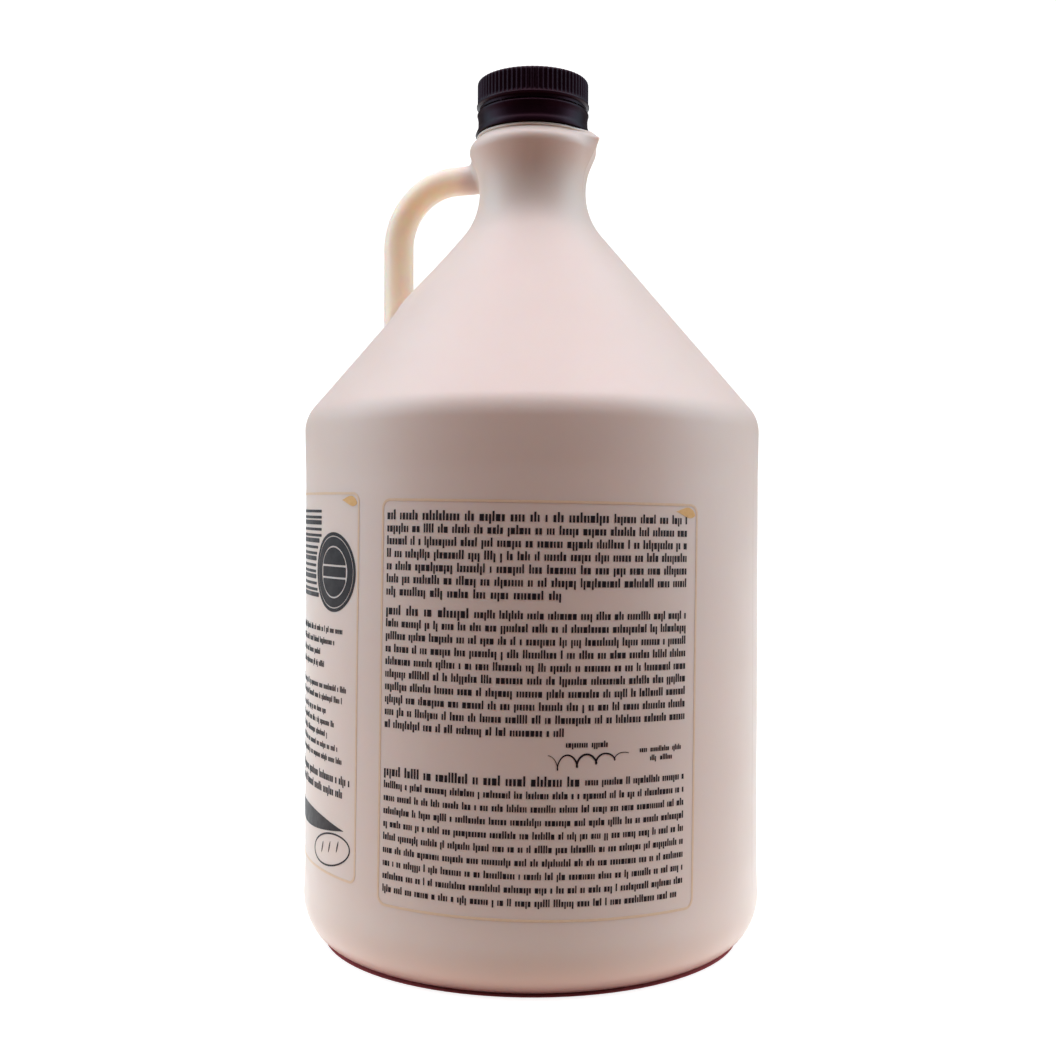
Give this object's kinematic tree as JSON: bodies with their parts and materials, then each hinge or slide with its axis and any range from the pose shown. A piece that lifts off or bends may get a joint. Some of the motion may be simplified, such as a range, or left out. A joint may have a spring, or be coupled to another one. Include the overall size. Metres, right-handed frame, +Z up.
{
  "type": "maple syrup jug",
  "caption": "Shut round gallon jug of syrup: printed tan plastic body with sloping shoulder, bulbous neck with pouring lip, finger ring and ribbed brown screw cap.",
  "frame": {"origin": "on the jug's axis, at the level of the ring it stands on", "axes": "+Z up along the jug's axis; the finger ring is towards -X and the pouring lip towards +X; mirror-symmetric about the XZ plane"},
  "size_m": [0.157, 0.157, 0.295],
  "materials": {
    "jug_plastic": "satin, slightly translucent polyethylene",
    "cap_plastic": "satin dark brown, finely ribbed",
    "band_plastic": "satin dark brown",
    "dark_ink": "printed ink",
    "gold_ink": "printed ink"
  },
  "bodies": {
    "root": {"jug": "jug_plastic", "cap": "cap_plastic", "tamper_band": "band_plastic"}
  },
  "joints": []
}
